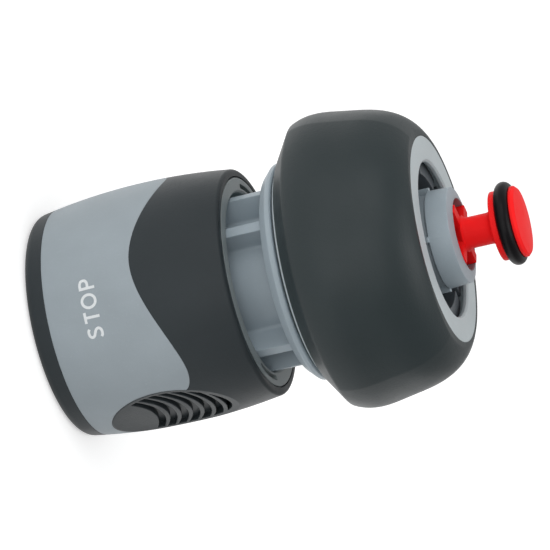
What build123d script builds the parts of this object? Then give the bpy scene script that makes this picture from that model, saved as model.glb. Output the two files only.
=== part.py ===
"""Garden hose quick connector with a water stop.

The origin lies on the axis, in the plane of the socket mouth, and +Z runs towards the hose.
The connector stands on its socket mouth. All sizes are in millimetres and degrees.
Pieces are drawn as the connector lies in use: sleeve forward, clamping nut nearly home,
and the valve plunger pushed back, which holds the water way open.
"""
from build123d import *
import os
from math import cos, hypot, radians, sin

# Fits
running_fit = 0.08
sliding_fit = 0.12
free_gap = 0.3
edge_break = 0.3
cut_reach = 1.0

# Socket tube
mouth_bore_r = 8.7
seal_bore_r = 7.4
seal_bore_start = 13.2
nose_stop_z = 22.0
chamber_r = 7.0
tube_wall = 1.5
tube_r = mouth_bore_r + tube_wall
tube_front = 1.5

# Valve way through the body
valve_bore_r = 5.7
valve_chamber_length = 14.0
valve_shoulder_z = nose_stop_z + valve_chamber_length

# Release sleeve, from its bore outward
sleeve_length = 32.3
sleeve_bore_r = 14.3
rim_width = 2.55
rim_r = sleeve_bore_r + rim_width
rim_thickness = 2.6
rim_groove_width = 0.25
rim_groove_depth = 0.6
skin_thickness = 1.22
sleeve_rear_r = rim_r + skin_thickness
rear_rounding = 0.6
bulge_height = 1.1
sleeve_belly_r = sleeve_rear_r + bulge_height
sleeve_belly_z = 17.0
front_taper = 1.27
sleeve_front_r = sleeve_belly_r - front_taper
front_rounding = 1.5
mouth_step = 1.6
sleeve_mouth_r = sleeve_front_r - mouth_step
sleeve_travel = 5.5

# Light panel let into the sleeve
panel_start = 3.25
panel_depth = 1.2
wave_trough_z = 17.9
wave_crest_z = 22.5
lobe_inset = 3.47
wave_half_width = sleeve_belly_r - lobe_inset
wave_crest_pull = 0.55
wave_trough_pull = 1.1
bulge_angle = -19.0
lobe_rounding = 2.0

# Thumb grips on the sleeve
grip_angle = bulge_angle + 90
grip_centre_z = 16.4
grip_half_length = 10.1
grip_half_width = 8.1
scoop_depth = 1.75
scoop_r = 42.0
groove_pitch = 1.9
groove_width = 1.15
groove_depth = 0.8
groove_start = 13.6
groove_bend_r = 12.3
groove_margin = 0.9
groove_end = grip_centre_z + groove_margin * grip_half_length
groove_count = 1 + int((groove_end - groove_start) // groove_pitch)

# Pockets in the rear rim of the sleeve
pocket_step = 0.6
pocket_r = sleeve_bore_r + pocket_step
pocket_width = 0.8
pocket_depth = 2.0
pocket_sweep = 26.0

# Locking jaws and the wedge that drives them
jaw_count = 3
jaw_front = 6.6
jaw_length = 4.0
jaw_bite = 1.25
jaw_width = 8.8
jaw_shoulder = 1.2
jaw_back_r = 11.5
jaw_lift = 1.2
wedge_slope = jaw_lift / sleeve_travel
wedge_overrun = 0.8
wedge_end = jaw_front + jaw_length + wedge_overrun
spring_shelf = 0.9

# Front collar
collar_front = 0.2
collar_bead = 0.35
bead_z = 4.0
bead_length = 1.0

# Release spring
spring_wire = 1.1
spring_turns = 5.5
spring_coil_r = (tube_r + sleeve_bore_r) / 2

# Guide ribs, spring seat and flange of the body
seat_inset = 5.3
spring_seat_z = sleeve_length - seat_inset
spring_seat_thickness = 1.2
rib_pair_angle = -50.0
rib_half_spread = 17.0
rib_thickness = 1.7
rib_root_round = 0.6
thread_step = 0.25
thread_r = rim_r - thread_step
flange_gap = 0.4
flange_front = sleeve_length + sleeve_travel + flange_gap
flange_thickness = 2.2
flange_overhang = 0.6
flange_r = thread_r + flange_overhang
flange_bevel = 1.3
flange_rounding = 0.3

# Clamping thread and hose pocket
thread_relief = 1.0
thread_relief_length = 2.0
boss_length = 12.8
boss_end = flange_front + boss_length
boss_chamfer = 0.8
hose_pocket_depth = 6.5
hose_pocket_floor = boss_end - hose_pocket_depth
collet_pocket_depth = 3.6
collet_pocket_wall = 2.4

# Hose tail
tail_r = 7.72
tail_neck_r = 7.0
tail_reach = 14.9
tail_end = boss_end + tail_reach
tail_end_slope = 0.5
tail_tip_r = 7.53
barb_pitch = 3.9
barb_count = 4
barb_step = 0.2
last_barb_z = tail_end - barb_pitch
nub_width = 0.9
nub_length = 2.2
nub_height = 0.45
nub_count = 4

# Clamping collet and the cone that closes it
cone_step = 1.4
cone_large_r = thread_r - cone_step
cone_taper = 1.8
cone_small_r = cone_large_r - cone_taper
collet_wall = 2.8
collet_bore_r = cone_small_r - collet_wall
hose_room = 0.8
hose_pocket_r = collet_bore_r + hose_room
collet_base_length = 4.2
finger_count = 8
finger_slit = 1.4
cone_gap = 2.0
cone_start = boss_end + cone_gap
cone_length = 7.9
cone_end = cone_start + cone_length
finger_tip_length = 0.2
finger_tip_z = cone_end + finger_tip_length

# Clamping nut, from its thread outward
nut_gap = 0.5
nut_front = flange_front + flange_thickness + nut_gap
nut_end_length = 1.7
nut_end = cone_end + nut_end_length
face_step = 0.35
nut_face_r = thread_r - face_step
nut_face_width = 4.0
nut_opening_r = nut_face_r - nut_face_width
nut_lip_thickness = 0.8
nut_mouth_wall = 1.0
nut_mouth_r = thread_r + nut_mouth_wall
nut_wall = 4.0
nut_wall_r = thread_r + nut_wall
nut_flare_length = 3.6
nut_wall_start = nut_front + nut_flare_length
nut_wall_length = 2.5
nut_wall_end = nut_wall_start + nut_wall_length
nut_wall_taper = 1.2
nut_face_length = 1.4
nut_face_start = nut_end - nut_face_length
nut_turn_length = 3.5
nut_shoulder_z = nut_face_start - nut_turn_length

# Soft grip of the nut: heights, and thickness in the middle of its faces
grip_inset = 0.5
grip_front = nut_front + grip_inset
grip_bevel_slope = 1.45
grip_bevel_length = 4.0
grip_shoulder_length = 2.9
grip_shoulder_z = grip_front + grip_shoulder_length
grip_crest_length = 2.2
grip_crest_z = grip_shoulder_z + grip_crest_length
grip_middle_length = 5.5
grip_middle_z = grip_crest_z + grip_middle_length
grip_turn_length = 2.0
grip_turn_z = nut_end - grip_turn_length
grip_edge = 1.0
grip_edge_r = nut_mouth_r + grip_edge
grip_bevel_r = grip_edge_r + grip_bevel_slope * grip_bevel_length
grip_shoulder = 1.6
grip_shoulder_r = nut_wall_r + grip_shoulder
grip_crest = 2.25
grip_crest_r = nut_wall_r + grip_crest
grip_middle = 1.75
grip_middle_r = nut_wall_r + grip_middle
grip_rear = 0.5
grip_rear_r = nut_wall_r + grip_rear
grip_turn = 1.1
grip_turn_r = nut_wall_r - grip_turn
grip_end = 0.65
grip_end_r = nut_face_r + grip_end
grip_rounding = 0.8
lobe_count = 3
lobe_angle = 57.0
lobe_shift = 1.8

# Valve plunger and its ring
fin_r = valve_bore_r - running_fit
fin_count = 4
fin_thickness = 1.8
fin_angle = 45.0
fin_standout = 0.2
fin_end = tail_end + fin_standout
stem_r = 1.9
crown_length = 1.6
stem_end = fin_end - crown_length
fin_crown_r = 2.9
push_pad_r = 4.6
hook_gap = 0.1
push_pad_front = nose_stop_z + hook_gap
push_pad_thickness = 1.4
hook_length = 1.3
hook_reach = 0.7
neck_r = 2.45
flare_length = 1.5
neck_start = fin_end + flare_length
head_root_length = 1.5
ring_section_r = 1.12
ring_centre_r = 5.4
ring_standout = 7.5
ring_centre_z = tail_end + ring_standout
groove_slack = 0.05
inner_flange_r = 5.4
inner_flange_thickness = 0.9
outer_flange_r = 5.55
outer_flange_thickness = 0.8
head_dome = 0.33
head_edge = 0.4

os.makedirs("parts", exist_ok=True)


def wedge_r(z, clearance=0.0):
    """Radius of the wedge inside the sleeve at height z, with the sleeve forward."""
    return jaw_back_r + free_gap - clearance - wedge_slope * (z - jaw_front)


def facing(angle, distance=0.0):
    """Plane that looks outward at this angle round the axis, its local y along +Z."""
    outward = Vector(cos(radians(angle)), sin(radians(angle)), 0)
    sideways = Vector(-sin(radians(angle)), cos(radians(angle)), 0)
    return Plane(origin=outward * distance, x_dir=sideways, z_dir=outward)


# Light panel of the sleeve, bounded by a band in front, two waves and the thumb grips
with BuildPart() as sleeve_panel:
    with BuildSketch(Plane.XZ):
        with BuildLine():
            skin = ThreePointArc(
                (sleeve_front_r, front_rounding),
                (sleeve_belly_r, sleeve_belly_z),
                (sleeve_rear_r, sleeve_length - rear_rounding),
            )
            bed = ThreePointArc(
                (sleeve_front_r - panel_depth, front_rounding),
                (sleeve_belly_r - panel_depth, sleeve_belly_z),
                (sleeve_rear_r - panel_depth, sleeve_length - rear_rounding),
            )
            Line(skin @ 0, bed @ 0)
            Line(skin @ 1, bed @ 1)
        make_face()
        with Locations((0, panel_start)):
            Rectangle(
                sleeve_belly_r + cut_reach,
                sleeve_length,
                align=(Align.MIN, Align.MIN),
                mode=Mode.INTERSECT,
            )
    revolve(axis=Axis.Z)
    for side in (bulge_angle, bulge_angle + 180):
        with BuildSketch(facing(side)):
            with BuildLine():
                lobe_centre_z = wave_crest_z - lobe_rounding
                Spline(
                    (-wave_half_width, wave_crest_z),
                    (0, wave_trough_z),
                    (wave_half_width, wave_crest_z),
                    tangents=[(1, 0), (1, 0), (1, 0)],
                    tangent_scalars=[wave_crest_pull, wave_trough_pull, wave_crest_pull],
                )
                right_lobe = CenterArc((wave_half_width, lobe_centre_z), lobe_rounding, 90, -90)
                left_lobe = CenterArc((-wave_half_width, lobe_centre_z), lobe_rounding, 90, 90)
                Polyline(
                    right_lobe @ 1,
                    (sleeve_belly_r + cut_reach, lobe_centre_z),
                    (sleeve_belly_r + cut_reach, sleeve_length),
                    (-sleeve_belly_r - cut_reach, sleeve_length),
                    (-sleeve_belly_r - cut_reach, lobe_centre_z),
                    left_lobe @ 1,
                )
            make_face()
        extrude(amount=sleeve_belly_r + cut_reach, mode=Mode.SUBTRACT)
    for side in (grip_angle, grip_angle + 180):
        with BuildSketch(facing(side)):
            with Locations((0, grip_centre_z)):
                Ellipse(grip_half_width, grip_half_length)
        extrude(amount=sleeve_belly_r + cut_reach, mode=Mode.SUBTRACT)
sleeve_panel.part.label = "sleeve_panel"

# Sleeve shell with the jaw wedge, the spring shelf, the thumb grips and the bed of the rim
with BuildPart() as sleeve_shell:
    with BuildSketch(Plane.XZ):
        with BuildLine():
            TangentArc(
                (sleeve_mouth_r, 0), (sleeve_front_r, front_rounding), tangent=(1, 0)
            )
            ThreePointArc(
                (sleeve_front_r, front_rounding),
                (sleeve_belly_r, sleeve_belly_z),
                (sleeve_rear_r, sleeve_length - rear_rounding),
            )
            TangentArc(
                (sleeve_rear_r - rear_rounding, sleeve_length),
                (sleeve_rear_r, sleeve_length - rear_rounding),
                tangent=(1, 0),
            )
            rim_start = sleeve_length - rim_thickness
            shelf_z = wedge_end + spring_shelf
            Polyline(
                (sleeve_rear_r - rear_rounding, sleeve_length),
                (rim_r, sleeve_length),
                (rim_r, rim_start),
                (sleeve_bore_r, rim_start),
                (sleeve_bore_r, shelf_z),
                (wedge_r(wedge_end), shelf_z),
                (wedge_r(wedge_end), wedge_end),
                (wedge_r(0), 0),
                (sleeve_mouth_r, 0),
            )
        make_face()
    revolve(axis=Axis.Z)
    for side in (grip_angle, grip_angle + 180):
        with BuildSketch(facing(side - 90)):
            with Locations((sleeve_belly_r - scoop_depth + scoop_r, grip_centre_z)):
                Circle(scoop_r)
        extrude(amount=grip_half_width + 2 * cut_reach, both=True, mode=Mode.SUBTRACT)
    for side in (grip_angle, grip_angle + 180):
        for index in range(groove_count):
            bow_centre_z = groove_start + index * groove_pitch - groove_bend_r
            with BuildSketch(facing(side, sleeve_belly_r - scoop_depth - groove_depth)):
                with Locations((0, bow_centre_z)):
                    Circle(groove_bend_r + groove_width / 2)
                    Circle(groove_bend_r - groove_width / 2, mode=Mode.SUBTRACT)
                with Locations((0, grip_centre_z)):
                    Ellipse(
                        grip_half_width * groove_margin,
                        grip_half_length * groove_margin,
                        mode=Mode.INTERSECT,
                    )
            extrude(amount=scoop_depth + groove_depth, mode=Mode.SUBTRACT)
    add(sleeve_panel.part, mode=Mode.SUBTRACT)
sleeve_shell.part.label = "sleeve_shell"

# Rear rim of the sleeve, a light ring with a fine groove round it and two pockets
with BuildPart() as sleeve_rim:
    with BuildSketch(Plane.XZ):
        Polygon(
            (sleeve_bore_r, rim_start),
            (rim_r, rim_start),
            (rim_r, sleeve_length - rim_groove_depth),
            (rim_r - rim_groove_width, sleeve_length - rim_groove_depth),
            (rim_r - rim_groove_width, sleeve_length),
            (sleeve_bore_r + edge_break, sleeve_length),
            (sleeve_bore_r, sleeve_length - edge_break),
            align=None,
        )
    revolve(axis=Axis.Z)
    for side in (grip_angle, grip_angle + 180):
        with BuildSketch(Plane.XY.offset(sleeve_length - pocket_depth)):
            pocket_line = CenterArc(
                (0, 0), pocket_r + pocket_width / 2, side - pocket_sweep / 2, pocket_sweep,
                mode=Mode.PRIVATE,
            )
            SlotArc(pocket_line, pocket_width)
        extrude(amount=pocket_depth, mode=Mode.SUBTRACT)
sleeve_rim.part.label = "sleeve_rim"

# Body: socket tube, guide ribs, flange, clamping thread and hose tail in one moulding
with BuildPart() as main_body:
    with BuildSketch(Plane.XZ):
        thread_start = flange_front + flange_thickness + thread_relief_length
        barb_starts = [last_barb_z - index * barb_pitch for index in range(barb_count)]
        barbs = []
        for crest_z in barb_starts:
            barbs += [(tail_r, crest_z), (tail_neck_r, crest_z - barb_step)]
        Polygon(
            (mouth_bore_r, tube_front),
            (tube_r, tube_front),
            (tube_r, spring_seat_z),
            (sleeve_bore_r - free_gap, spring_seat_z),
            (sleeve_bore_r - free_gap, spring_seat_z + spring_seat_thickness),
            (tube_r, spring_seat_z + spring_seat_thickness),
            (tube_r, flange_front),
            (flange_r - flange_bevel, flange_front),
            (flange_r, flange_front + flange_bevel),
            (flange_r, flange_front + flange_thickness),
            (thread_r - thread_relief, flange_front + flange_thickness),
            (thread_r - thread_relief, thread_start),
            (thread_r, thread_start),
            (thread_r, boss_end - boss_chamfer),
            (thread_r - boss_chamfer, boss_end),
            (thread_r - collet_pocket_wall, boss_end),
            (thread_r - collet_pocket_wall, boss_end - collet_pocket_depth),
            (hose_pocket_r, boss_end - collet_pocket_depth),
            (hose_pocket_r, hose_pocket_floor),
            (tail_neck_r, hose_pocket_floor),
            *reversed(barbs),
            (tail_tip_r, tail_end - tail_end_slope),
            (valve_bore_r, tail_end),
            (valve_bore_r, valve_shoulder_z),
            (chamber_r, valve_shoulder_z),
            (chamber_r, nose_stop_z),
            (seal_bore_r, nose_stop_z),
            (seal_bore_r, seal_bore_start),
            (mouth_bore_r, seal_bore_start - (mouth_bore_r - seal_bore_r)),
            align=None,
        )
    revolve(axis=Axis.Z)
    rib_start = spring_seat_z + spring_seat_thickness
    rib_tip_r = sleeve_bore_r - sliding_fit
    with BuildSketch(Plane.XY.offset(rib_start)):
        Circle(rib_tip_r)
        Circle(tube_r, mode=Mode.SUBTRACT)
        with BuildSketch(mode=Mode.INTERSECT):
            for pair in range(jaw_count):
                for lean in (-rib_half_spread, rib_half_spread):
                    with Locations(Rotation(0, 0, rib_pair_angle + pair * 360 / jaw_count + lean)):
                        Rectangle(
                            rib_tip_r + cut_reach, rib_thickness, align=(Align.MIN, Align.CENTER)
                        )
    extrude(amount=flange_front - rib_start)
    rib_roots = main_body.edges().filter_by(Axis.Z).filter_by(
        lambda edge: abs(hypot(edge.center().X, edge.center().Y) - tube_r) < 0.01
    )
    fillet(rib_roots, radius=rib_root_round)
    flange_rims = main_body.edges().filter_by(GeomType.CIRCLE).filter_by(
        lambda edge: abs(edge.radius - flange_r) < 0.01
    )
    fillet(flange_rims, radius=flange_rounding)
    for jaw in range(jaw_count):
        with BuildSketch(facing(rib_pair_angle + jaw * 360 / jaw_count)):
            with Locations((0, jaw_front - sliding_fit)):
                Rectangle(
                    jaw_width + 2 * sliding_fit,
                    jaw_length + 2 * sliding_fit,
                    align=(Align.CENTER, Align.MIN),
                )
        extrude(amount=tube_r + cut_reach, mode=Mode.SUBTRACT)
    with BuildSketch(Plane.XZ):
        with Locations((tube_r - collar_bead, bead_z - bead_length / 2)):
            Rectangle(collar_bead, bead_length, align=(Align.MIN, Align.MIN))
    revolve(axis=Axis.Z, mode=Mode.SUBTRACT)
    with BuildSketch(Plane.XY.offset(last_barb_z - nub_length)):
        with PolarLocations(0, nub_count):
            with Locations((tail_neck_r - edge_break, 0)):
                Rectangle(
                    tail_r + nub_height - tail_neck_r + edge_break,
                    nub_width,
                    align=(Align.MIN, Align.CENTER),
                )
    extrude(amount=nub_length)
main_body.part.label = "main_body"

# Front collar, snapped over the tube: it holds the jaws and stops the sleeve
with BuildPart() as front_collar:
    with BuildSketch(Plane.XZ):
        collar_end = jaw_front - sliding_fit
        Polygon(
            (mouth_bore_r + edge_break, collar_front),
            (wedge_r(collar_front, free_gap), collar_front),
            (wedge_r(collar_end, free_gap), collar_end),
            (tube_r, collar_end),
            (tube_r, bead_z + bead_length / 2),
            (tube_r - collar_bead, bead_z + bead_length / 2),
            (tube_r - collar_bead, bead_z - bead_length / 2),
            (tube_r, bead_z - bead_length / 2),
            (tube_r, tube_front),
            (mouth_bore_r, tube_front),
            (mouth_bore_r, collar_front + edge_break),
            align=None,
        )
    revolve(axis=Axis.Z)
front_collar.part.label = "front_collar"

# Locking jaws, one in each window of the tube
jaws = []
for jaw in range(jaw_count):
    jaw_angle = rib_pair_angle + jaw * 360 / jaw_count
    jaw_end = jaw_front + jaw_length
    tip_r = mouth_bore_r - jaw_bite
    with BuildPart() as locking_jaw:
        with BuildSketch(Plane.XZ):
            Polygon(
                (mouth_bore_r, jaw_front),
                (wedge_r(jaw_front, free_gap), jaw_front),
                (wedge_r(jaw_end, free_gap), jaw_end),
                (tip_r, jaw_end),
                (tip_r, jaw_front + jaw_bite),
                align=None,
            )
        revolve(axis=Axis.Z)
        with BuildSketch(facing(jaw_angle)):
            with Locations((0, jaw_front)):
                Rectangle(jaw_width, jaw_length, align=(Align.CENTER, Align.MIN))
        extrude(amount=jaw_back_r + cut_reach, mode=Mode.INTERSECT)
    with BuildPart() as jaw_wings:
        with BuildSketch(Plane.XZ):
            Polygon(
                (tube_r + sliding_fit, jaw_front),
                (wedge_r(jaw_front, free_gap), jaw_front),
                (wedge_r(jaw_end, free_gap), jaw_end),
                (tube_r + sliding_fit, jaw_end),
                align=None,
            )
        revolve(axis=Axis.Z)
        with BuildSketch(facing(jaw_angle)):
            with Locations((0, jaw_front)):
                Rectangle(
                    jaw_width + 2 * jaw_shoulder, jaw_length, align=(Align.CENTER, Align.MIN)
                )
        extrude(amount=jaw_back_r + cut_reach, mode=Mode.INTERSECT)
        add(locking_jaw.part)
    jaw_wings.part.label = f"locking_jaw_{jaw + 1}"
    jaws.append(jaw_wings.part)

# Release spring, between the shelf in the sleeve and the seat on the body
with BuildPart() as release_spring:
    spring_start = wedge_end + spring_shelf + spring_wire / 2
    spring_length = spring_seat_z - spring_wire / 2 - spring_start
    with BuildLine():
        coil = Helix(
            pitch=spring_length / spring_turns,
            height=spring_length,
            radius=spring_coil_r,
            center=(0, 0, spring_start),
        )
    with BuildSketch(Plane(origin=coil @ 0, z_dir=coil % 0)):
        Circle(spring_wire / 2)
    sweep()
release_spring.part.label = "release_spring"

# Clamping collet: a closed base ring with a crown of fingers round the hose
with BuildPart() as hose_collet:
    base_start = boss_end - collet_pocket_depth + sliding_fit
    base_r = thread_r - collet_pocket_wall - sliding_fit
    with BuildSketch(Plane.XZ):
        Polygon(
            (collet_bore_r, base_start),
            (base_r, base_start),
            (base_r, base_start + collet_base_length),
            (cone_large_r - free_gap, cone_start),
            (cone_small_r - free_gap, cone_end),
            (cone_small_r - free_gap, finger_tip_z),
            (collet_bore_r, finger_tip_z),
            align=None,
        )
    revolve(axis=Axis.Z)
    with BuildSketch(Plane.XY.offset(base_start + collet_base_length)):
        with PolarLocations(0, finger_count):
            Rectangle(cone_large_r + cut_reach, finger_slit, align=(Align.MIN, Align.CENTER))
    extrude(amount=finger_tip_z - base_start - collet_base_length, mode=Mode.SUBTRACT)
hose_collet.part.label = "hose_collet"

# Core of the clamping nut, with the thread bore, the clamping cone and the pale face
with BuildPart() as nut_core:
    with BuildSketch(Plane.XZ):
        lip_z = nut_end - nut_lip_thickness
        nut_wall_line = [
            (nut_mouth_r, nut_front),
            (nut_wall_r, nut_wall_start),
            (nut_wall_r, nut_wall_end),
            (nut_wall_r - nut_wall_taper, nut_shoulder_z),
            (nut_face_r, nut_face_start),
            (nut_face_r, nut_end),
        ]
        Polygon(
            (thread_r + sliding_fit, nut_front),
            *nut_wall_line,
            (nut_opening_r + edge_break, nut_end),
            (nut_opening_r, nut_end - edge_break),
            (nut_opening_r, lip_z),
            (cone_small_r, lip_z),
            (cone_small_r, cone_end),
            (cone_large_r, cone_start),
            (cone_large_r, boss_end + free_gap),
            (thread_r + sliding_fit, boss_end + free_gap),
            align=None,
        )
    revolve(axis=Axis.Z)
nut_core.part.label = "nut_core"

# Soft grip moulded over the nut, three broad faces that meet in low ridges
with BuildPart() as nut_grip:
    for lobe in range(lobe_count):
        turn = lobe_angle + (lobe + 0.5) * 360 / lobe_count
        face_plane = facing(turn - 90)
        with BuildSketch(face_plane):
            with BuildLine():
                face_line = Spline(
                    (grip_edge_r, grip_front),
                    (grip_shoulder_r, grip_shoulder_z),
                    (grip_crest_r, grip_crest_z),
                    (grip_middle_r, grip_middle_z),
                    (grip_rear_r, nut_shoulder_z),
                    (grip_turn_r, grip_turn_z),
                    (grip_end_r, nut_end),
                )
                Polyline(
                    face_line @ 1,
                    (-lobe_shift, nut_end),
                    (-lobe_shift, grip_front),
                    face_line @ 0,
                )
            make_face()
        face_axis = Axis(face_plane.from_local_coords((-lobe_shift, 0, 0)), (0, 0, 1))
        revolve(axis=face_axis, mode=Mode.ADD if lobe == 0 else Mode.INTERSECT)
    with BuildSketch(Plane.XZ):
        Polygon(
            (0, grip_front),
            (grip_edge_r, grip_front),
            (grip_bevel_r, grip_front + grip_bevel_length),
            (grip_bevel_r, nut_end),
            (0, nut_end),
            align=None,
        )
    revolve(axis=Axis.Z, mode=Mode.INTERSECT)
    ridges = nut_grip.edges().filter_by(
        lambda edge: grip_front + cut_reach < edge.center().Z < nut_end - cut_reach
    )
    fillet(ridges, radius=grip_rounding)
    with BuildSketch(Plane.XZ):
        Polygon((0, nut_front), *nut_wall_line, (0, nut_end), align=None)
    revolve(axis=Axis.Z, mode=Mode.SUBTRACT)
nut_grip.part.label = "nut_grip"

# Valve plunger: push pad, finned stem with snap hooks, neck and flanged head
with BuildPart() as valve_plunger:
    with BuildSketch(Plane.XZ):
        with BuildLine():
            groove_half = ring_section_r + groove_slack
            groove_root_r = ring_centre_r - ring_section_r - groove_slack
            flange_start = ring_centre_z - groove_half - inner_flange_thickness
            head_rim_z = ring_centre_z + groove_half + outer_flange_thickness
            pad = Polyline(
                (0, push_pad_front),
                (push_pad_r, push_pad_front),
                (push_pad_r, push_pad_front + push_pad_thickness),
                (stem_r, push_pad_front + push_pad_thickness),
                (stem_r, stem_end),
                (fin_crown_r, fin_end),
            )
            flare = Spline(pad @ 1, (neck_r, neck_start), tangents=[(-1, 0.4), (0, 1)])
            neck = Line(flare @ 1, (neck_r, flange_start - head_root_length))
            root = Spline(neck @ 1, (inner_flange_r, flange_start), tangents=[(0, 1), (1, 0.1)])
            head = Polyline(
                root @ 1,
                (inner_flange_r, flange_start + inner_flange_thickness),
                (groove_root_r, flange_start + inner_flange_thickness),
                (groove_root_r, ring_centre_z + groove_half),
                (outer_flange_r, ring_centre_z + groove_half),
                (outer_flange_r, head_rim_z - head_edge),
                (outer_flange_r - head_edge, head_rim_z),
            )
            dome_r = ((outer_flange_r - head_edge) ** 2 + head_dome**2) / (2 * head_dome)
            dome = RadiusArc(head @ 1, (0, head_rim_z + head_dome), -dome_r)
            Line(dome @ 1, pad @ 0)
        make_face()
    revolve(axis=Axis.Z)
    hook_top = valve_shoulder_z - hook_gap
    with BuildSketch(Plane.XY.offset(hook_top - hook_length)):
        with Locations(Rotation(0, 0, fin_angle)):
            with PolarLocations(0, fin_count):
                Rectangle(fin_r + cut_reach, fin_thickness, align=(Align.MIN, Align.CENTER))
        Circle(fin_r, mode=Mode.INTERSECT)
    extrude(amount=fin_end - hook_top + hook_length)
    with BuildSketch(Plane.XY.offset(hook_top - hook_length)):
        with Locations(Rotation(0, 0, fin_angle)):
            with PolarLocations(0, fin_count):
                Rectangle(fin_r + hook_reach, fin_thickness, align=(Align.MIN, Align.CENTER))
    extrude(amount=hook_length)
valve_plunger.part.label = "valve_plunger"

# Rubber ring in the groove of the plunger head
with BuildPart() as plunger_ring:
    with BuildSketch(Plane.XZ):
        with Locations((ring_centre_r, ring_centre_z)):
            Circle(ring_section_r)
    revolve(axis=Axis.Z)
plunger_ring.part.label = "plunger_ring"

pieces = [
    sleeve_panel.part,
    sleeve_shell.part,
    sleeve_rim.part,
    main_body.part,
    front_collar.part,
    *jaws,
    release_spring.part,
    hose_collet.part,
    nut_core.part,
    nut_grip.part,
    valve_plunger.part,
    plunger_ring.part,
]
for piece in pieces:
    export_step(piece, f"parts/{piece.label}.step")
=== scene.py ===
from math import atan2, cos, hypot, pi, radians, sin

import bmesh
import bpy
from mathutils import Matrix, Vector

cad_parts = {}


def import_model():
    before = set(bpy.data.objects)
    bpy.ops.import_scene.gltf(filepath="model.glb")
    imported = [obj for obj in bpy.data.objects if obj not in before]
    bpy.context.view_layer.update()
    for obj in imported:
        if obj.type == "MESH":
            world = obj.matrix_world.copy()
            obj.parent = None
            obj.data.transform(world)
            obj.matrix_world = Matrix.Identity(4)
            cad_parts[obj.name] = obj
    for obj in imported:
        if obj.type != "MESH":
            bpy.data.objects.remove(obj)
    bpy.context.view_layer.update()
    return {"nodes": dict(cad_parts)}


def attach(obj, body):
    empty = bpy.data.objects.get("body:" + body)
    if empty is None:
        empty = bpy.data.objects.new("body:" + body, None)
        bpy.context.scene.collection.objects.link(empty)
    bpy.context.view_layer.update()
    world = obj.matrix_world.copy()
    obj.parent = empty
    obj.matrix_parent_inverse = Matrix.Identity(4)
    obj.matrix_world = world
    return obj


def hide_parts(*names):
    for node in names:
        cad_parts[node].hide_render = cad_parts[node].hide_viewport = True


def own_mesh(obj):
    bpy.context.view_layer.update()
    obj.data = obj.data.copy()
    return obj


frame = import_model()
scene = bpy.context.scene
nodes = frame["nodes"]

# Lengths below are in millimetres unless they say otherwise
MM = 0.001

# Camera fitted to the photograph: its axes in the row frame, its place and its lens
RIGHT = Vector((-0.26489847, 0.2120033, 0.94068241))
UP = Vector((-0.00919091, -0.97604281, 0.21738435))
BACK = Vector((0.96423251, 0.04893906, 0.26050075))
CAMERA_PLACE = Vector((604.459, 30.257, 198.453))
LENS = 264.104
NEAR_CLIP_M = 0.01
FAR_CLIP_M = 10

# Clamping thread, drawn as relief on the plain cylinders of the body and the nut
THREAD_PITCH = 3.0
THREAD_DEPTH = 0.7
THREAD_RUN_OUT = 0.5
THREAD_RADIUS_SLACK = 0.05
THREAD_FLANK = 0.4
BODY_THREAD = {"start": 43.0, "end": 49.8, "inner": 16.3, "outer": 16.9}
NUT_THREAD = {"start": 42.0, "end": 50.6, "inner": 16.5, "outer": 16.95}

# Release spring
COIL_RADIUS = 12.25
COIL_WIRE = 1.1
COIL_TURNS = 5.5
COIL_FRONT = 12.3
COIL_SEAT = 27.0
COIL_STEPS_PER_TURN = 40
WIRE_SIDES = 12

# Printed word: three points (radius, height) of the sleeve's bulged side, and the ink on it
SKIN_POINTS = ((17.9, 1.5), (19.17, 17.0), (18.07, 31.7))
WORD_HEIGHT = 10.6
STROKE_WIDTH = 0.43
INK_LIFTS = (0.03, 0.028)
INK_SINK = 0.03
CURVE_STEPS = 8

# Floor and studio, in metres apart from the gap
FLOOR_HALF_WIDTH_M = 3.0
FLOOR_GAP = 0.02
FLOOR_COLOUR = (0.82, 0.82, 0.82, 1)
FLOOR_GLOW = 0.5
LAMP_TARGET = Vector((0, 0, 38))
LAMP_DISTANCE_M = 0.9
LAMP_SIDE_M = 0.6


# ---------------------------------------------------------------- materials
# Noise scales are in cells per metre: clouds and sheen of about a centimetre, patches of
# edge wear and painted edge highlight and scuffs of 1 to 2 mm, specks of under half a millimetre
CLOUD_SCALE = 110
SPECK_SCALE = 2600
PATCH_SCALE = 420
SCUFF_SCALE = 700
SHEEN_SCALE = 160
SPECK_SHARE = 0.22
SPECK_LIGHT = 1.25
# Lightening of rounded edges: partly wear, partly a painted edge highlight
EDGE_WEAR_AND_HIGHLIGHT = 1.8
SHEEN_SPREAD = 0.05
EDGE_FLAT = 0.995
EDGE_ROUND = 0.85


def linear(red, green, blue):
    """Colour written as the 0 to 255 values seen on a screen."""
    def channel(v):
        v /= 255
        return v / 12.92 if v <= 0.04045 else ((v + 0.055) / 1.055) ** 2.4
    return (channel(red), channel(green), channel(blue), 1.0)


def scaled(colour, factor):
    return tuple(min(1.0, c * factor) for c in colour[:3]) + (1.0,)


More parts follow.
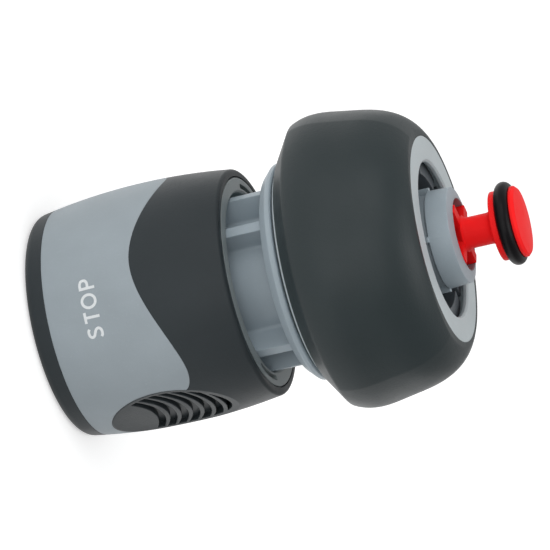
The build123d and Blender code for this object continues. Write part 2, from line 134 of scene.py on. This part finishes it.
class Tree:
    """One node material, built up by small calls."""

    def __init__(self, name):
        self.material = bpy.data.materials.new(name)
        self.material.use_nodes = True
        self.tree = self.material.node_tree
        self.tree.nodes.clear()
        self.out = self.add("ShaderNodeOutputMaterial")
        self.shader = self.add("ShaderNodeBsdfPrincipled")
        self.link(self.shader.outputs[0], self.out.inputs[0])

    def add(self, kind, **settings):
        node = self.tree.nodes.new(kind)
        for key, value in settings.items():
            setattr(node, key, value)
        return node

    def link(self, source, target):
        self.tree.links.new(source, target)

    def feed(self, value, target):
        """Link a socket, or write a plain value."""
        if isinstance(value, bpy.types.NodeSocket):
            self.link(value, target)
        else:
            target.default_value = value

    def place(self):
        return self.add("ShaderNodeTexCoord").outputs["Object"]

    def stretched(self, scale, rotation=(0, 0, 0)):
        node = self.add("ShaderNodeMapping")
        node.inputs["Scale"].default_value = scale
        node.inputs["Rotation"].default_value = rotation
        self.link(self.place(), node.inputs["Vector"])
        return node.outputs[0]

    def noise(self, scale, detail=2.0, roughness=0.5, place=None):
        node = self.add("ShaderNodeTexNoise")
        node.inputs["Scale"].default_value = scale
        node.inputs["Detail"].default_value = detail
        node.inputs["Roughness"].default_value = roughness
        self.link(place or self.place(), node.inputs["Vector"])
        return node.outputs["Fac"]

    def ramp(self, value, low, high, to_low=0.0, to_high=1.0):
        node = self.add("ShaderNodeMapRange")
        self.link(value, node.inputs["Value"])
        node.inputs["From Min"].default_value = low
        node.inputs["From Max"].default_value = high
        node.inputs["To Min"].default_value = to_low
        node.inputs["To Max"].default_value = to_high
        return node.outputs["Result"]

    def mix(self, factor, first, second):
        node = self.add("ShaderNodeMix", data_type="RGBA")
        self.feed(factor, node.inputs[0])
        self.feed(first, node.inputs[6])
        self.feed(second, node.inputs[7])
        return node.outputs[2]

    def math(self, operation, first, second=0.0):
        node = self.add("ShaderNodeMath", operation=operation)
        self.feed(first, node.inputs[0])
        self.feed(second, node.inputs[1])
        return node.outputs[0]

    def bump(self, height, depth, normal=None):
        node = self.add("ShaderNodeBump")
        node.inputs["Distance"].default_value = depth
        self.link(height, node.inputs["Height"])
        if normal:
            self.link(normal, node.inputs["Normal"])
        return node.outputs["Normal"]

    def window(self, value, low, high, soft):
        """One between low and high, nought outside them."""
        rise = self.ramp(value, low - soft, low + soft)
        fall = self.ramp(value, high + soft, high - soft)
        return self.math("MULTIPLY", rise, fall)

    def thread(self, start, end, inner, outer):
        """Height of a right-hand thread round the axis, on the faces between two radii."""
        split = self.add("ShaderNodeSeparateXYZ")
        self.link(self.place(), split.inputs[0])
        x, y, z = split.outputs
        angle = self.math("ARCTAN2", y, x)
        rise = self.math("MULTIPLY", z, 2 * pi / (THREAD_PITCH * MM))
        wave = self.math("SINE", self.math("SUBTRACT", rise, angle))
        squares = [self.math("MULTIPLY", v, v) for v in (x, y)]
        radius = self.math("SQRT", self.math("ADD", *squares))
        along = self.window(z, start * MM, end * MM, THREAD_RUN_OUT * MM)
        around = self.window(radius, inner * MM, outer * MM, THREAD_RADIUS_SLACK * MM)
        crest = self.ramp(wave, -THREAD_FLANK, THREAD_FLANK)
        return self.math("MULTIPLY", crest, self.math("MULTIPLY", along, around))


def plastic(name, colour, roughness, edge=0.25, wear_and_highlight=0.35, mottle=0.05, grain=0.010,
            grain_size=0.35, specular=0.5, wear_and_highlight_colour=None, scuff=0.08, thread=None):
    """Moulded plastic: cloudy colour, spark-eroded grain, soft edges made paler by wear and by a
    painted highlight, faint scuffs.
    """
    t = Tree(name)

    # Colour: clouds, fine specks, and paler patches on rounded edges, partly wear and partly a
    # painted edge highlight
    cloud = t.ramp(t.noise(CLOUD_SCALE, 3), 0.3, 0.7)
    tone = t.mix(cloud, scaled(colour, 1 - mottle), scaled(colour, 1 + mottle))
    speck = t.ramp(t.noise(SPECK_SCALE, 1), 0.62, 0.8, 0.0, SPECK_SHARE)
    tone = t.mix(speck, tone, scaled(colour, SPECK_LIGHT))
    rounded = t.add("ShaderNodeBevel", samples=6)
    rounded.inputs["Radius"].default_value = edge * MM
    surface = t.add("ShaderNodeNewGeometry")
    aligned = t.add("ShaderNodeVectorMath", operation="DOT_PRODUCT")
    t.link(rounded.outputs[0], aligned.inputs[0])
    t.link(surface.outputs["Normal"], aligned.inputs[1])
    edges = t.ramp(aligned.outputs["Value"], EDGE_FLAT, EDGE_ROUND)
    patches = t.ramp(t.noise(PATCH_SCALE, 3), 0.42, 0.62)
    # Painted edge highlight mixed with wear: rounded edges are made paler
    edge_wear_and_highlight = t.math("MULTIPLY", t.math("MULTIPLY", edges, patches), wear_and_highlight)
    tone = t.mix(edge_wear_and_highlight, tone, wear_and_highlight_colour or scaled(colour, EDGE_WEAR_AND_HIGHLIGHT))
    t.link(tone, t.shader.inputs["Base Color"])

    # Roughness: slow change of sheen, and scuffs that run one way
    scuffed = t.stretched((1, 1, 6), (0.4, 0.9, 0.3))
    scuffs = t.ramp(t.noise(SCUFF_SCALE, 5, 0.65, scuffed), 0.55, 0.75)
    sheen = t.ramp(t.noise(SHEEN_SCALE, 3), 0.25, 0.75,
                   roughness - SHEEN_SPREAD, roughness + SHEEN_SPREAD)
    t.link(t.math("ADD", sheen, t.math("MULTIPLY", scuffs, scuff)), t.shader.inputs["Roughness"])

    # Relief: softened edges, grain, and the thread where there is one
    fine = t.noise(1 / (grain_size * MM), 2, 0.6)
    normal = t.bump(fine, grain * MM, rounded.outputs[0])
    if thread:
        normal = t.bump(t.thread(**thread), THREAD_DEPTH * MM, normal)
    t.link(normal, t.shader.inputs["Normal"])
    t.shader.inputs["Specular IOR Level"].default_value = specular
    return t.material


def steel(name):
    """Drawn wire, with fine streaks."""
    t = Tree(name)
    streaks = t.noise(900, 4, 0.6, t.stretched((1, 1, 12)))
    share = t.ramp(streaks, 0.3, 0.7)
    t.link(t.mix(share, linear(150, 150, 152), linear(196, 197, 200)),
           t.shader.inputs["Base Color"])
    t.link(t.ramp(streaks, 0.3, 0.7, 0.24, 0.4), t.shader.inputs["Roughness"])
    t.shader.inputs["Metallic"].default_value = 1.0
    t.link(t.bump(streaks, 0.004 * MM), t.shader.inputs["Normal"])
    return t.material


finishes = {
    "body_grey": plastic("body_grey", linear(156, 169, 177), 0.38, thread=BODY_THREAD),
    "jaw_plastic": plastic("jaw_plastic", linear(150, 156, 158), 0.35),
    "collet_grey": plastic("collet_grey", linear(84, 90, 95), 0.4),
    "rim_grey": plastic("rim_grey", linear(138, 146, 147), 0.42),
    "nut_soft": plastic("nut_soft", linear(38, 47, 49), 0.42, edge=0.6, wear_and_highlight=0.25,
                        grain=0.02, grain_size=0.4, specular=0.29),
    "dark_grip": plastic("dark_grip", linear(45, 51, 54), 0.42, wear_and_highlight=0.12,
                         grain=0.02, grain_size=0.4, specular=0.2),
    "light_panel": plastic("light_panel", linear(153, 163, 169), 0.48, wear_and_highlight=0.2,
                           grain=0.015, specular=0.35),
    "pale_nut": plastic("pale_nut", linear(179, 189, 192), 0.42, thread=NUT_THREAD),
    "red_plastic": plastic("red_plastic", linear(253, 26, 28), 0.48, edge=0.2, wear_and_highlight=0.1,
                           mottle=0.04, wear_and_highlight_colour=linear(246, 70, 60), grain=0.004,
                           specular=0.12),
    "black_rubber": plastic("black_rubber", linear(8, 6, 9), 0.36, edge=0.1, wear_and_highlight=0.0,
                            grain=0.006, specular=0.15),
    "white_ink": plastic("white_ink", linear(226, 230, 232), 0.5, edge=0.02, wear_and_highlight=0.0,
                         mottle=0.03),
    "spring_steel": steel("spring_steel"),
}
NODE_FINISHES = {
    "main_body": "body_grey",
    "front_collar": "body_grey",
    "locking_jaw_1": "jaw_plastic",
    "locking_jaw_2": "jaw_plastic",
    "locking_jaw_3": "jaw_plastic",
    "release_spring": "spring_steel",
    "sleeve_shell": "dark_grip",
    "sleeve_panel": "light_panel",
    "sleeve_rim": "rim_grey",
    "hose_collet": "collet_grey",
    "nut_core": "pale_nut",
    "nut_grip": "nut_soft",
    "valve_plunger": "red_plastic",
    "plunger_ring": "black_rubber",
}
for name, node in nodes.items():
    node.data.materials.clear()
    node.data.materials.append(finishes[NODE_FINISHES[name]])


def make_piece(name, bm, finish):
    """Object in the scene from a finished bmesh."""
    mesh = bpy.data.meshes.new(name)
    bm.to_mesh(mesh)
    bm.free()
    mesh.materials.append(finish)
    piece = bpy.data.objects.new(name, mesh)
    scene.collection.objects.link(piece)
    return piece


# ---------------------------------------------------------------- release spring
def wire_ring(bm, turned):
    """One ring of the wire's skin, at a share of the coil's length from its front end."""
    rise = (COIL_SEAT - COIL_FRONT - COIL_WIRE) * MM
    slope = atan2(rise, 2 * pi * COIL_TURNS * COIL_RADIUS * MM)
    angle = 2 * pi * COIL_TURNS * turned
    outward = Vector((cos(angle), sin(angle), 0))
    along = Vector((-sin(angle) * cos(slope), cos(angle) * cos(slope), sin(slope)))
    across = outward.cross(along)
    centre = outward * COIL_RADIUS * MM
    centre.z = (COIL_FRONT + COIL_WIRE / 2) * MM + rise * turned
    sides = (2 * pi * k / WIRE_SIDES for k in range(WIRE_SIDES))
    return [bm.verts.new(centre + (outward * cos(a) + across * sin(a)) * COIL_WIRE / 2 * MM)
            for a in sides]


def coil_spring():
    """The spring with the CAD's form, as a mesh in the coupler's body, in place of the CAD node.
    """
    bm = bmesh.new()
    steps = round(COIL_TURNS * COIL_STEPS_PER_TURN)
    rings = [wire_ring(bm, i / steps) for i in range(steps + 1)]
    for first, second in zip(rings, rings[1:]):
        for k in range(WIRE_SIDES):
            bm.faces.new((first[k], first[k - 1], second[k - 1], second[k]))
    bm.faces.new(rings[0])
    bm.faces.new(reversed(rings[-1]))
    bmesh.ops.recalc_face_normals(bm, faces=bm.faces)
    for face in bm.faces:
        face.smooth = len(face.verts) == 4
    coil = make_piece("coil_spring", bm, finishes["spring_steel"])
    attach(coil, "coupler")
    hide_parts("release_spring")
    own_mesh(coil)


coil_spring()


# ---------------------------------------------------------------- lettering
def skin_radius(z):
    """Radius of the sleeve's bulged side at height z, on the arc through its three points."""
    (r1, z1), (r2, z2), (r3, z3) = SKIN_POINTS
    d = 2 * (r1 * (z2 - z3) + r2 * (z3 - z1) + r3 * (z1 - z2))
    s1, s2, s3 = r1 * r1 + z1 * z1, r2 * r2 + z2 * z2, r3 * r3 + z3 * z3
    centre_r = (s1 * (z2 - z3) + s2 * (z3 - z1) + s3 * (z1 - z2)) / d
    centre_z = (s1 * (r3 - r2) + s2 * (r1 - r3) + s3 * (r2 - r1)) / d
    size = hypot(r1 - centre_r, z1 - centre_z)
    return centre_r + (size * size - (z - centre_z) ** 2) ** 0.5


def between(a, b, c, d, t):
    """Point on a Catmull-Rom curve, a share t of the way from b to c."""
    return 0.5 * (2 * b + (c - a) * t + (2 * a - 5 * b + 4 * c - d) * t * t
                  + (3 * b - a - 3 * c + d) * t ** 3)


def smooth_path(points, closed=False):
    """Points along a smooth line through the given ones."""
    n = len(points)

    def point(i):
        return points[i % n] if closed else points[min(max(i, 0), n - 1)]

    path = []
    for i in range(n if closed else n - 1):
        near = [point(i + k) for k in (-1, 0, 1, 2)]
        for step in range(CURVE_STEPS):
            path.append(tuple(between(*values, step / CURVE_STEPS) for values in zip(*near)))
    if not closed:
        path.append(tuple(points[-1]))
    return path


def stroke(bm, path, closed, centre_angle, lift):
    """Ribbon of ink along a path, laid on the bulged side of the sleeve."""
    n = len(path)
    rows = []
    for i, (x, y) in enumerate(path):
        before = path[(i - 1) % n] if closed or i else path[0]
        after = path[(i + 1) % n] if closed or i < n - 1 else path[-1]
        dx, dy = after[0] - before[0], after[1] - before[1]
        half = STROKE_WIDTH / 2 / (hypot(dx, dy) or 1.0)
        row = []
        for side, sink in ((-1, INK_SINK), (-1, 0.0), (1, 0.0), (1, INK_SINK)):
            z = WORD_HEIGHT - (y + dx * side * half)
            r = skin_radius(z) + lift - sink
            angle = centre_angle - (x - dy * side * half) / skin_radius(z)
            row.append(bm.verts.new((r * cos(angle) * MM, r * sin(angle) * MM, z * MM)))
        rows.append(row)
    for i in range(n if closed else n - 1):
        first, second = rows[i], rows[(i + 1) % n]
        for a in range(3):
            bm.faces.new((first[a], second[a], second[a + 1], first[a + 1]))


# Each letter: its angle round the sleeve, and its strokes as (points, closed), in letter
# space with x along the word and y up the letter
LETTERS = [
    (-9.0, [([(0.68, 0.86), (0.40, 1.05), (0.0, 1.09), (-0.42, 0.98), (-0.62, 0.62),
              (-0.42, 0.27), (0.0, 0.06), (0.44, -0.18), (0.66, -0.58), (0.44, -0.98),
              (0.0, -1.09), (-0.42, -1.04), (-0.70, -0.84)], False)]),
    (-1.5, [([(-0.86, 1.09), (-0.3, 1.09), (0.3, 1.09), (0.86, 1.09)], False),
            ([(0, 0.9), (0, 0.2), (0, -0.6), (0, -1.3)], False)]),
    (6.0, [([(1.0 * cos(a * pi / 6), 1.1 * sin(a * pi / 6)) for a in range(12)], True)]),
    (14.0, [([(-0.62, 1.3), (-0.62, 0.5), (-0.62, -0.5), (-0.62, -1.3)], False),
            ([(-0.5, 1.09), (0.1, 1.08), (0.56, 0.88), (0.68, 0.5), (0.56, 0.1),
              (0.1, -0.12), (-0.5, -0.13)], False)]),
]
letters = bmesh.new()
for photo_angle, strokes in LETTERS:
    for lift, (points, closed) in zip(INK_LIFTS, strokes):
        stroke(letters, smooth_path(points, closed), closed, radians(-photo_angle), lift)
function_word = make_piece("function_word", letters, finishes["white_ink"])
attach(function_word, "sleeve")


# ---------------------------------------------------------------- floor, light and camera
def floor():
    """Pale floor that looks white and keeps the shadow."""
    t = Tree("floor")
    t.shader.inputs["Base Color"].default_value = FLOOR_COLOUR
    t.shader.inputs["Roughness"].default_value = 0.9
    t.shader.inputs["Specular IOR Level"].default_value = 0.1
    path = t.add("ShaderNodeLightPath")
    seen = t.math("MAXIMUM", path.outputs["Is Camera Ray"], path.outputs["Is Glossy Ray"])
    seen = t.math("MAXIMUM", seen, path.outputs["Is Transmission Ray"])
    glow = t.add("ShaderNodeEmission")
    t.link(t.math("MULTIPLY", seen, FLOOR_GLOW), glow.inputs["Strength"])
    both = t.add("ShaderNodeAddShader")
    t.link(t.shader.outputs[0], both.inputs[0])
    t.link(glow.outputs[0], both.inputs[1])
    t.link(both.outputs[0], t.out.inputs[0])
    bm = bmesh.new()
    bmesh.ops.create_grid(bm, x_segments=8, y_segments=8, size=FLOOR_HALF_WIDTH_M)
    plane = make_piece("floor", bm, t.material)
    plane.location = (0, 0, -FLOOR_GAP * MM)


def world(below, above):
    """Soft light from all round, stronger from above the picture, on a white background."""
    sky = bpy.data.worlds.new("studio")
    scene.world = sky
    sky.use_nodes = True
    tree = sky.node_tree
    tree.nodes.clear()
    out = tree.nodes.new("ShaderNodeOutputWorld")
    background = tree.nodes.new("ShaderNodeBackground")
    background.inputs["Color"].default_value = (1, 1, 1, 1)

    # Level of the light, by the direction that it comes from
    direction = tree.nodes.new("ShaderNodeTexCoord")
    upward = tree.nodes.new("ShaderNodeVectorMath")
    upward.operation = "DOT_PRODUCT"
    upward.inputs[1].default_value = UP
    tree.links.new(direction.outputs["Generated"], upward.inputs[0])
    level = tree.nodes.new("ShaderNodeMapRange")
    level.inputs["From Min"].default_value = -1.0
    level.inputs["From Max"].default_value = 1.0
    level.inputs["To Min"].default_value = below
    level.inputs["To Max"].default_value = above
    tree.links.new(upward.outputs["Value"], level.inputs["Value"])

    # White where it is seen itself
    path = tree.nodes.new("ShaderNodeLightPath")
    seen = tree.nodes.new("ShaderNodeMath")
    seen.operation = "MAXIMUM"
    tree.links.new(path.outputs["Is Camera Ray"], seen.inputs[0])
    tree.links.new(path.outputs["Is Transmission Ray"], seen.inputs[1])
    strength = tree.nodes.new("ShaderNodeMapRange")
    strength.inputs["To Max"].default_value = 1.0
    tree.links.new(seen.outputs[0], strength.inputs["Value"])
    tree.links.new(level.outputs["Result"], strength.inputs["To Min"])
    tree.links.new(strength.outputs["Result"], background.inputs["Strength"])
    tree.links.new(background.outputs[0], out.inputs["Surface"])


def lamp(name, direction, watts):
    """Square softbox that faces the object from a direction."""
    data = bpy.data.lights.new(name, "AREA")
    data.shape = "RECTANGLE"
    data.size = data.size_y = LAMP_SIDE_M
    data.energy = watts
    softbox = bpy.data.objects.new(name, data)
    scene.collection.objects.link(softbox)
    direction = direction.normalized()
    softbox.location = LAMP_TARGET * MM + direction * LAMP_DISTANCE_M
    softbox.rotation_mode = "QUATERNION"
    softbox.rotation_quaternion = (-direction).to_track_quat("-Z", "Y")


def photo_camera():
    data = bpy.data.cameras.new("camera")
    data.lens = LENS
    data.clip_start = NEAR_CLIP_M
    data.clip_end = FAR_CLIP_M
    camera = bpy.data.objects.new("camera", data)
    scene.collection.objects.link(camera)
    turn = Matrix((RIGHT, UP, BACK)).transposed().to_4x4()
    camera.matrix_world = Matrix.Translation(CAMERA_PLACE * MM) @ turn
    scene.camera = camera


floor()
world(0.34, 0.74)
lamp("key", UP * 0.8 + BACK * 0.8, 1.5)
lamp("front", BACK * 0.9 - RIGHT * 0.12, 1.6)
lamp("side", BACK * 0.4 + RIGHT * 0.9 + UP * 0.1, 2.2)
photo_camera()
scene.view_settings.view_transform = "Standard"
